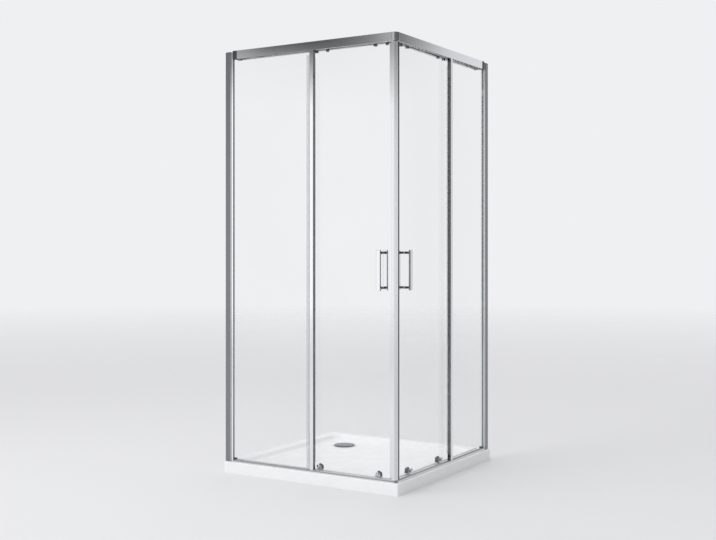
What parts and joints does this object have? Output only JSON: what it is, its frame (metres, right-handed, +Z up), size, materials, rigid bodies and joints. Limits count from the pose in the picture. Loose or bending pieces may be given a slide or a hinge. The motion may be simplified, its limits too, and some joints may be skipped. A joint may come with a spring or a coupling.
{
  "type": "corner entry shower enclosure",
  "caption": "Square corner shower enclosure: clear glass panels in bright aluminium frames, sliding doors that meet at the corner, bar handles, low white tray with a round drain.",
  "frame": {"origin": "on the floor under the middle of the square tray", "axes": "+Z up; the front face looks along -Y, the side face along +X, and they meet at the entry corner (+X, -Y); the room's walls are along -X and +Y"},
  "size_m": [0.9, 0.9, 1.9],
  "materials": {
    "tray_white": "glossy sanitary white",
    "bright_aluminium": "bright polished anodised",
    "chrome": "mirror chrome",
    "dark_metal": "dark satin",
    "stainless": "brushed",
    "dark_plastic": "dark grey satin",
    "clear_glass": "clear tempered safety glass",
    "clear_seal": "translucent soft seal",
    "magnet_grey": "light grey soft strip",
    "black_rubber": "black rubber",
    "nylon": "white running plastic"
  },
  "bodies": {
    "frame": {"shower_tray": "tray_white", "drain_flange": "stainless", "wall_profiles": "bright_aluminium", "adjust_profiles": "bright_aluminium", "profile_caps": "dark_plastic", "rail_brackets": "dark_plastic", "foot_brackets": "dark_plastic", "corner_connector": "bright_aluminium", "frame_screws": "stainless", "mid_profiles": "bright_aluminium", "lip_seals": "clear_seal", "glass_gaskets": "clear_seal", "door_stops": "black_rubber", "top_rail_front": "bright_aluminium", "top_rail_side": "bright_aluminium", "bottom_rail_front": "bright_aluminium", "bottom_rail_side": "bright_aluminium", "fixed_glass_front": "clear_glass", "fixed_glass_side": "clear_glass"},
    "drain_cover": {"drain_cover": "stainless"},
    "door_front": {"door_glass_front": "clear_glass", "lead_profile_front": "bright_aluminium", "magnet_strip_front": "magnet_grey", "trailing_seal_front": "clear_seal", "handle_bars_front": "chrome", "handle_studs_front": "dark_metal", "carriage_plates_front": "dark_metal", "carriage_bolts_front": "chrome", "axle_pins_front": "stainless", "guide_faces_front": "chrome", "guide_housings_front": "dark_plastic", "guide_screws_front": "chrome", "knob_spring_a_front": "stainless", "knob_spring_b_front": "stainless"},
    "top_wheel_a_front": {"top_wheel_a_front": "nylon"},
    "top_wheel_b_front": {"top_wheel_b_front": "nylon"},
    "release_knob_a_front": {"release_knob_a_front": "dark_plastic"},
    "guide_wheel_a_front": {"guide_wheel_a_front": "nylon"},
    "release_knob_b_front": {"release_knob_b_front": "dark_plastic"},
    "guide_wheel_b_front": {"guide_wheel_b_front": "nylon"},
    "door_side": {"door_glass_side": "clear_glass", "lead_profile_side": "bright_aluminium", "magnet_strip_side": "magnet_grey", "trailing_seal_side": "clear_seal", "handle_bars_side": "chrome", "handle_studs_side": "dark_metal", "carriage_plates_side": "dark_metal", "carriage_bolts_side": "chrome", "axle_pins_side": "stainless", "guide_faces_side": "chrome", "guide_housings_side": "dark_plastic", "guide_screws_side": "chrome", "knob_spring_a_side": "stainless", "knob_spring_b_side": "stainless"},
    "top_wheel_a_side": {"top_wheel_a_side": "nylon"},
    "top_wheel_b_side": {"top_wheel_b_side": "nylon"},
    "release_knob_a_side": {"release_knob_a_side": "dark_plastic"},
    "guide_wheel_a_side": {"guide_wheel_a_side": "nylon"},
    "release_knob_b_side": {"release_knob_b_side": "dark_plastic"},
    "guide_wheel_b_side": {"guide_wheel_b_side": "nylon"}
  },
  "joints": [
    {"name": "drain_cover_lift", "type": "slide", "parent": "frame", "child": "drain_cover", "axis": [0, 0, 1], "range_m": [0, 0.03]},
    {"name": "door_front_slide", "type": "slide", "parent": "frame", "child": "door_front", "axis": [-1, 0, 0], "range_m": [0, 0.316]},
    {"name": "top_wheel_a_front_spin", "type": "hinge", "parent": "door_front", "child": "top_wheel_a_front", "pos_m": [0.348, -0.3945, 1.8764], "axis": [0, 1, 0], "continuous": true},
    {"name": "top_wheel_b_front_spin", "type": "hinge", "parent": "door_front", "child": "top_wheel_b_front", "pos_m": [0.053, -0.3945, 1.8764], "axis": [0, 1, 0], "continuous": true},
    {"name": "release_knob_a_front_lift", "type": "slide", "parent": "door_front", "child": "release_knob_a_front", "axis": [0, 0, 1], "range_m": [0, 0.0035], "stiffness_N_per_m": 450, "springref_m": -0.005, "deforming": ["knob_spring_a_front"]},
    {"name": "guide_wheel_a_front_spin", "type": "hinge", "parent": "release_knob_a_front", "child": "guide_wheel_a_front", "pos_m": [0.328, -0.3945, 0.0604], "axis": [0, 1, 0], "continuous": true},
    {"name": "release_knob_b_front_lift", "type": "slide", "parent": "door_front", "child": "release_knob_b_front", "axis": [0, 0, 1], "range_m": [0, 0.0035], "stiffness_N_per_m": 450, "springref_m": -0.005, "deforming": ["knob_spring_b_front"]},
    {"name": "guide_wheel_b_front_spin", "type": "hinge", "parent": "release_knob_b_front", "child": "guide_wheel_b_front", "pos_m": [0.035, -0.3945, 0.0604], "axis": [0, 1, 0], "continuous": true},
    {"name": "door_side_slide", "type": "slide", "parent": "frame", "child": "door_side", "axis": [0, 1, 0], "range_m": [0, 0.284]},
    {"name": "top_wheel_a_side_spin", "type": "hinge", "parent": "door_side", "child": "top_wheel_a_side", "pos_m": [0.3945, -0.325, 1.8764], "axis": [1, 0, 0], "continuous": true},
    {"name": "top_wheel_b_side_spin", "type": "hinge", "parent": "door_side", "child": "top_wheel_b_side", "pos_m": [0.3945, 0.012, 1.8764], "axis": [1, 0, 0], "continuous": true},
    {"name": "release_knob_a_side_lift", "type": "slide", "parent": "door_side", "child": "release_knob_a_side", "axis": [0, 0, 1], "range_m": [0, 0.0035], "stiffness_N_per_m": 450, "springref_m": -0.005, "deforming": ["knob_spring_a_side"]},
    {"name": "guide_wheel_a_side_spin", "type": "hinge", "parent": "release_knob_a_side", "child": "guide_wheel_a_side", "pos_m": [0.3945, -0.265, 0.0604], "axis": [1, 0, 0], "continuous": true},
    {"name": "release_knob_b_side_lift", "type": "slide", "parent": "door_side", "child": "release_knob_b_side", "axis": [0, 0, 1], "range_m": [0, 0.0035], "stiffness_N_per_m": 450, "springref_m": -0.005, "deforming": ["knob_spring_b_side"]},
    {"name": "guide_wheel_b_side_spin", "type": "hinge", "parent": "release_knob_b_side", "child": "guide_wheel_b_side", "pos_m": [0.3945, 0.013, 0.0604], "axis": [1, 0, 0], "continuous": true}
  ],
  "couplings": [
    {"joint": "top_wheel_a_front_spin", "follows": "door_front_slide", "rad_per_m": -111.11},
    {"joint": "top_wheel_b_front_spin", "follows": "door_front_slide", "rad_per_m": -111.11},
    {"joint": "guide_wheel_a_front_spin", "follows": "door_front_slide", "rad_per_m": -238.1},
    {"joint": "guide_wheel_b_front_spin", "follows": "door_front_slide", "rad_per_m": -238.1},
    {"joint": "top_wheel_a_side_spin", "follows": "door_side_slide", "rad_per_m": -111.11},
    {"joint": "top_wheel_b_side_spin", "follows": "door_side_slide", "rad_per_m": -111.11},
    {"joint": "guide_wheel_a_side_spin", "follows": "door_side_slide", "rad_per_m": -238.1},
    {"joint": "guide_wheel_b_side_spin", "follows": "door_side_slide", "rad_per_m": -238.1}
  ]
}
